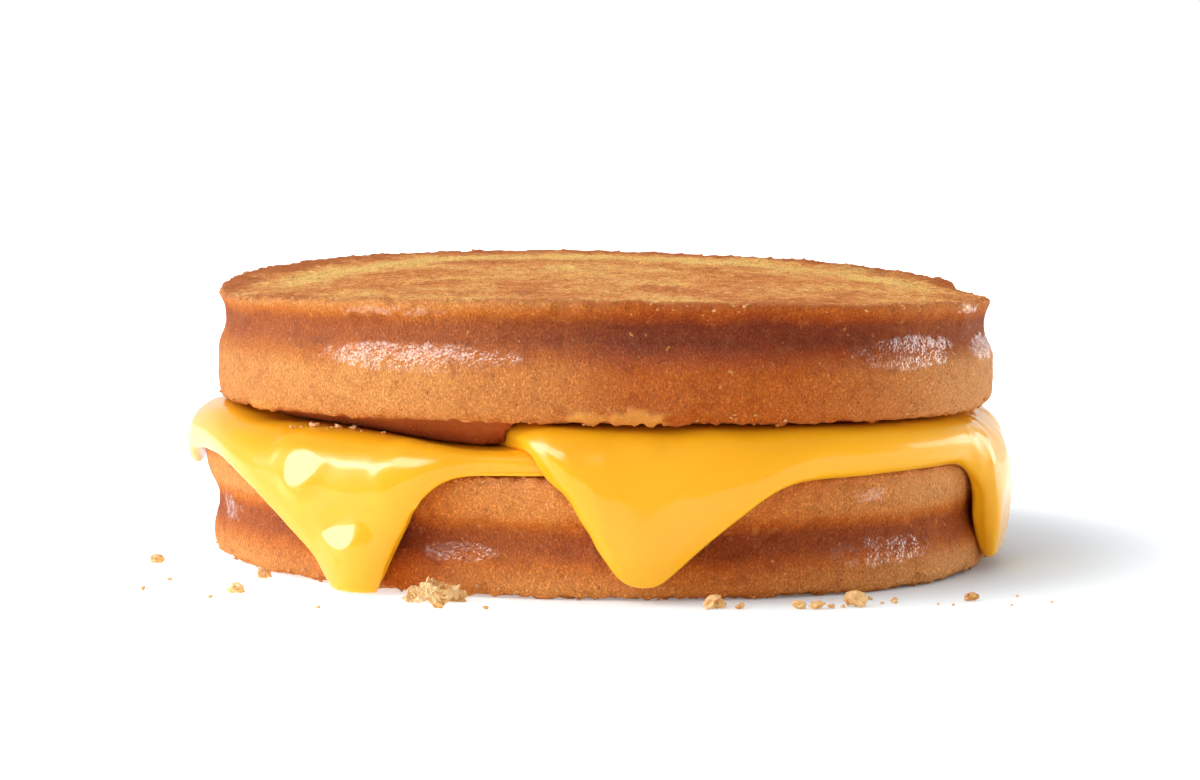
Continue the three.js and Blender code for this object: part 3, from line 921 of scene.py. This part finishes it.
# crumbs; places and widths in mm
crumbs = {
    "seed": 11,
    "onTable": [
        (-72.6, -16.0, 2.3), (-68.1, -35.3, 1.0), (-71.0, -45.4, 1.0), (-59.6, -52.3, 0.9),
        (-56.0, -47.4, 2.9), (-53.1, -32.2, 2.6), (-41.9, -62.8, 0.9), (-20.0, -52.3, 1.1),
        (-24.2, -62.0, 3.2), (-16.4, -63.1, 1.1), (18.1, -61.8, 3.8), (22.3, -62.7, 1.7),
        (31.3, -62.6, 2.1), (34.1, -62.6, 2.3), (36.3, -62.2, 1.2), (38.1, -61.8, 0.8),
        (40.1, -60.8, 3.4), (42.8, -54.2, 0.9), (44.4, -58.0, 0.6), (46.4, -57.1, 1.4),
        (52.9, -58.9, 0.6), (55.1, -59.9, 0.6), (58.5, -55.1, 2.3), (64.1, -59.9, 0.6),
        (66.0, -51.3, 0.6), (70.6, -57.1, 0.6), (-33.0, 61.0, 2.2), (-27.5, 62.0, 0.9),
        (24.0, 61.5, 1.6), (52.0, 47.0, 2.6), (56.5, 49.5, 1.0), (-62.0, 33.0, 1.4),
    ],
    "onCheese": [
        (-50.4, -31.4, 0.5), (-48.6, -32.5, 0.9), (-48.0, -32.8, 0.5), (-46.9, -33.9, 0.6),
        (-45.2, -34.2, 1.0), (-44.5, -34.6, 1.3), (-43.9, -34.4, 0.6), (-41.8, -35.8, 0.5),
        (-40.7, -36.3, 1.1), (-40.2, -36.0, 0.6), (-38.2, -37.6, 1.2), (-37.5, -37.3, 0.5),
        (-36.8, -39.5, 0.5), (-33.2, -41.2, 0.8), (-45.9, -35.1, 0.4), (-42.6, -36.4, 0.4),
    ],
    "sunk": 0.1,  # those on the cheese
    "lump": {"narrow": 0.75, "flat": 0.5, "tilt": 0.5, "rough": 0.6, "knobs": 1.3, "grit": 3.6,
             "fineness": 2},
    # crumbs on the table that are wider than this are clumps of smaller lumps
    "clump": {"from": 2, "lumps": 3, "aside": 0.35, "forth": 0.2, "widths": (0.4, 0.7),
              "flat": 0.8},
    # on the rims of each slice: how many, how wide, what is rim, and the way out and down
    "clinging": {"count": 190, "widths": (0.45, 1.05), "fineness": 1, "within": 2, "foot": 0.1,
                 "top": 0.93, "out": 0.1, "down": 0.35},
    # thin crumpled chips over small crumbs
    "flake": {
        "at": (-24.6, -55.6, 0),
        "width": 6.6,
        "tall": 2.8,
        "thick": 0.2,
        "chips": 7,
        "grid": (15, 9),
        "long": (2.8, 4.4),
        "wide": (1.8, 3.0),
        "tilts": ((0.1, 1.3), (-0.5, 0.5), (-0.8, 0.8)),
        "aside": 0.9,
        "lifted": 0.4,
        "bend": (0.15, 0.1),
        # height or share, fineness and layer of each noise
        "waves": (0.8, 0.7, 0),
        "creases": (0.45, 1.7, 3),
        "torn": (0.4, 1.1, 5),
        "rounded": 0.1,
        "crumbs": 12,
        "crumbWidths": (0.9, 1.9),
        "crumbSpread": ((-3.4, 3.6), (-1.2, 1.2)),
    },
}
# tones from the hollows to the knobs, and where each lies in the pattern
crumbTones = {
    "browned": [(0.3, (0.4, 0.11, 0.018)), (0.48, (0.58, 0.23, 0.048)), (0.66, (0.72, 0.38, 0.11))],
    "golden": [(0.3, (0.52, 0.19, 0.04)), (0.48, (0.76, 0.40, 0.12)), (0.66, (0.90, 0.60, 0.26))],
    "pale": [(0.3, (0.58, 0.27, 0.07)), (0.46, (0.80, 0.50, 0.19)), (0.62, (0.93, 0.69, 0.37))],
}
crumbLook = {
    "tone": (2.2, 1, 0.5),
    "grain": (0.35, 3, 0.6),
    "height": 0.12,
    "finish": {
        "Roughness": 0.7,
        "Subsurface Weight": 0.1,
        "Subsurface Radius": (1.0, 0.5, 0.2),
        "Subsurface Scale": 0.6 * mm,
        "Specular IOR Level": 0.25,
    },
}
lump = crumbs["lump"]


def crumbInto(mesh, at, width, chance, flat=lump["flat"], fineness=lump["fineness"]):
    # the lump's lowest point is at the given place
    tilt, rough = lump["tilt"], lump["rough"]
    made = bmesh.ops.create_icosphere(mesh, subdivisions=fineness, radius=width / 2 * mm)
    shift = Vector((chance.uniform(0, 90), chance.uniform(0, 90), 0))
    turn = Euler((chance.uniform(-tilt, tilt), chance.uniform(-tilt, tilt), chance.uniform(0, 6)))
    turn = turn.to_matrix()
    for vert in made["verts"]:
        way = vert.co.normalized()
        size = 1 + rough * noise.noise(way * lump["knobs"] + shift)
        size += rough * noise.noise(way * lump["grit"] + shift)
        x, y, z = vert.co
        vert.co = turn @ (Vector((x, y * lump["narrow"], z * flat)) * size)
    drop = min(vert.co.z for vert in made["verts"])
    bmesh.ops.translate(mesh, verts=made["verts"], vec=Vector(at) * mm - Vector((0, 0, drop)))


def makeCrumb(name, stops):
    paint = Paint(bpy.data.materials.new(name))
    tone = paint.noise(*crumbLook["tone"])
    grain = paint.noise(*crumbLook["grain"])
    sockets = {
        "Base Color": paint.ramp(tone * 0.5 + grain * 0.5, stops),
        "Normal": paint.bump(grain, crumbLook["height"]),
    }
    return paint.finish({**sockets, **crumbLook["finish"]})


def addCrumbPiece(name, mesh, look):
    for vert in mesh.verts:
        vert.co.z = max(vert.co.z, 0)
    mesh.normal_update()
    data = bpy.data.meshes.new(name)
    mesh.to_mesh(data)
    mesh.free()
    piece = addPiece(name, data, look, False)
    print(name, "made:", len(data.polygons), "faces")


def addLooseCrumbs(look):
    chance = random.Random(crumbs["seed"])
    clump = crumbs["clump"]
    mesh = bmesh.new()
    for x, y, width in crumbs["onTable"]:
        crumbInto(mesh, (x, y, 0), width, chance)
        for _ in range(clump["lumps"] if width > clump["from"] else 0):
            aside = chance.uniform(-clump["aside"], clump["aside"]) * width
            forth = chance.uniform(-clump["forth"], clump["forth"]) * width
            size = width * chance.uniform(*clump["widths"])
            crumbInto(mesh, (x + aside, y + forth, 0), size, chance, clump["flat"])
    tree = treeOf("cheese_left_melted")
    down, sunk = Vector((0, 0, -1)), Vector((0, 0, crumbs["sunk"]))
    for x, y, width in crumbs["onCheese"]:
        place = tree.ray_cast(Vector((x, y, 60)) * mm, down)[0]  # from above the sandwich
        crumbInto(mesh, place / mm - sunk, width, chance)
    addCrumbPiece("loose_crumbs", mesh, look)


def addClingingCrumbs(look):
    chance = random.Random(crumbs["seed"] + 1)
    made = crumbs["clinging"]
    mesh = bmesh.new()
    for name in slices:
        data = bpy.data.objects[name + "_toasted"].data
        share = [value.value for value in data.attributes["share"].data]
        inward = [value.value for value in data.attributes["inward"].data]
        onRim = [value < made["foot"] or value > made["top"] for value in share]
        rims = [i for i in range(len(share)) if onRim[i] and inward[i] < made["within"]]
        for index in chance.sample(rims, made["count"]):
            vert = data.vertices[index]
            width = chance.uniform(*made["widths"])
            place = vert.co / mm + vert.normal * made["out"] * width
            place -= Vector((0, 0, made["down"] * width))
            crumbInto(mesh, place, width, chance, fineness=made["fineness"])
    addCrumbPiece("clinging_crumbs", mesh, look)


def chipNoise(x, y, shift, made):
    height, fineness, layer = made
    return height * noise.noise(Vector((x, y, layer)) * fineness + shift)


def addFlake(look):
    made = crumbs["flake"]
    chance = random.Random(crumbs["seed"] + 2)
    mesh = bmesh.new()
    for i in range(made["chips"]):
        along = (i + 0.5) / made["chips"] - 0.5
        bell = 1 - (2 * along) ** 2
        cells = {"x_segments": made["grid"][0], "y_segments": made["grid"][1]}
        grid = bmesh.ops.create_grid(mesh, size=0.5 * mm, **cells)
        long, wide = chance.uniform(*made["long"]), chance.uniform(*made["wide"])
        tilt = Euler([chance.uniform(*ends) for ends in made["tilts"]])
        aside = chance.uniform(-made["aside"], made["aside"])
        up = bell * made["tall"] * 0.5 + made["lifted"]
        place = Vector((along * made["width"], aside, up))
        shift = Vector((i * 7.3, 0, 0))  # so that no two chips are alike
        for vert in grid["verts"]:
            x, y = vert.co.x / mm * long, vert.co.y / mm * wide
            curl = made["bend"][0] * x * x + made["bend"][1] * y * y
            curl += chipNoise(x, y, shift, made["waves"])
            curl += abs(chipNoise(x, y, shift, made["creases"]))
            outward = (x * x + y * y) / (0.25 * (long * long + wide * wide))
            ragged = (1 - made["rounded"] * outward) * (1 + chipNoise(x, y, shift, made["torn"]))
            spot = Vector((x * ragged, y * ragged, curl))
            spot.rotate(tilt)
            vert.co = (Vector(made["at"]) + place + spot) * mm
    bmesh.ops.solidify(mesh, geom=mesh.faces[:], thickness=made["thick"] * mm)
    for _ in range(made["crumbs"]):
        aside, forth = [chance.uniform(*ends) for ends in made["crumbSpread"]]
        spot = Vector((aside, forth, 0)) + Vector(made["at"])
        crumbInto(mesh, spot, chance.uniform(*made["crumbWidths"]), chance)
    addCrumbPiece("crust_flake", mesh, look)


def addCrumbs():
    addLooseCrumbs(makeCrumb("crumb", crumbTones["golden"]))
    addClingingCrumbs(makeCrumb("browned crumb", crumbTones["browned"]))
    addFlake(makeCrumb("pale crust flake", crumbTones["pale"]))


addCrumbs()


# floor and sky, in m
studio = {
    "floorReach": 3.0,
    "floorCorners": 96,
    # the floor glows, and is dim only where the shadow falls
    "floorGlow": {"middle": (0.03, 0.004, 0), "near": 0.02, "far": 0.95, "from": 0.042, "to": 0.11},
    "floorTone": (0.675, 0.75, 0.80),
    "floorFinish": {"Roughness": 0.7, "Specular IOR Level": 0.1, "Emission Strength": 1.0},
    # turning: from the front's level to the back's; rising: from there to the one above
    "sky": {"front": 0.5, "back": 1.0, "above": 0.32, "turning": (-0.2, 0.5), "rising": (0.2, 0.6)},
    "aim": (0, 0, 0.025),
}

# direction and height in degrees seen from the food, distance and size in m, power in W;
# shine is the power of a second lamp there that only makes highlights, matt makes none
lights = {
    "left box": {"toward": -174, "height": 22, "distance": 0.9, "size": (0.3, 0.6), "power": 2.9,
                 "shine": 34},
    "front box": {"toward": -143, "height": 47, "distance": 0.9, "size": (0.69, 0.46), "power": 2.6,
                  "shine": 50},
    "front fill": {"toward": -78, "height": 33, "distance": 1.2, "size": (1.5, 0.8), "power": 1.8,
                   "matt": True},
    "top": {"toward": 90, "height": 75, "distance": 1.0, "size": (0.9, 0.7), "power": 4.2,
            "matt": True},
    "right edge": {"toward": 20, "height": 9, "distance": 0.8, "size": (0.7, 0.26), "power": 1.9,
                   "shine": 5},
}


def addFloor():
    mesh = bmesh.new()
    corners, reach = studio["floorCorners"], studio["floorReach"]
    bmesh.ops.create_circle(mesh, cap_ends=True, segments=corners, radius=reach)
    data = bpy.data.meshes.new("floor")
    mesh.to_mesh(data)
    mesh.free()
    floor = bpy.data.objects.new("floor", data)
    scene.collection.objects.link(floor)
    paint = Paint(bpy.data.materials.new("white floor"))
    glow = studio["floorGlow"]
    between = {0: paint.place, 1: glow["middle"]}
    away = paint.node("VectorMath", {"operation": "DISTANCE"}, between, "Value")
    near, far = (glow["near"],) * 3, (glow["far"],) * 3
    shine = paint.mix(paint.step(away, glow["from"], glow["to"]), near, far)
    sockets = {"Base Color": (*studio["floorTone"], 1), "Emission Color": shine}
    data.materials.append(paint.finish({**sockets, **studio["floorFinish"]}))


def addSky():
    sky = studio["sky"]
    scene.world = bpy.data.worlds.new("studio")
    paint = Paint(scene.world, "Generated")
    back = paint.node("SeparateXYZ", {}, {"Vector": paint.place}, "Y")
    up = paint.node("SeparateXYZ", {}, {"Vector": paint.place}, "Z")
    level = sky["front"] + (sky["back"] - sky["front"]) * paint.step(back, *sky["turning"])
    high = paint.step(up, *sky["rising"])
    strength = level * (1 - high) + sky["above"] * high
    paint.finish({"Color": (1, 1, 1, 1), "Strength": strength}, "Background", "OutputWorld")


def addLamp(name, light, power):
    lamp = bpy.data.lights.new(name, "AREA")
    lamp.shape = "RECTANGLE"
    lamp.size, lamp.size_y = light["size"]
    lamp.energy = power
    holder = bpy.data.objects.new(name, lamp)
    scene.collection.objects.link(holder)
    turn, height = math.radians(light["toward"]), math.radians(light["height"])
    level = math.cos(height)
    away = Vector((math.cos(turn) * level, math.sin(turn) * level, math.sin(height)))
    holder.location = Vector(studio["aim"]) + away * light["distance"]
    holder.rotation_euler = away.to_track_quat("Z", "Y").to_euler()
    holder.visible_camera = False
    return holder


def addLights():
    for name, light in lights.items():
        addLamp(name, light, light["power"]).visible_glossy = "matt" not in light
        if "shine" in light:
            addLamp(name, light, light["shine"]).visible_diffuse = False


addFloor()
addSky()
addLights()
print("floor and lights set")
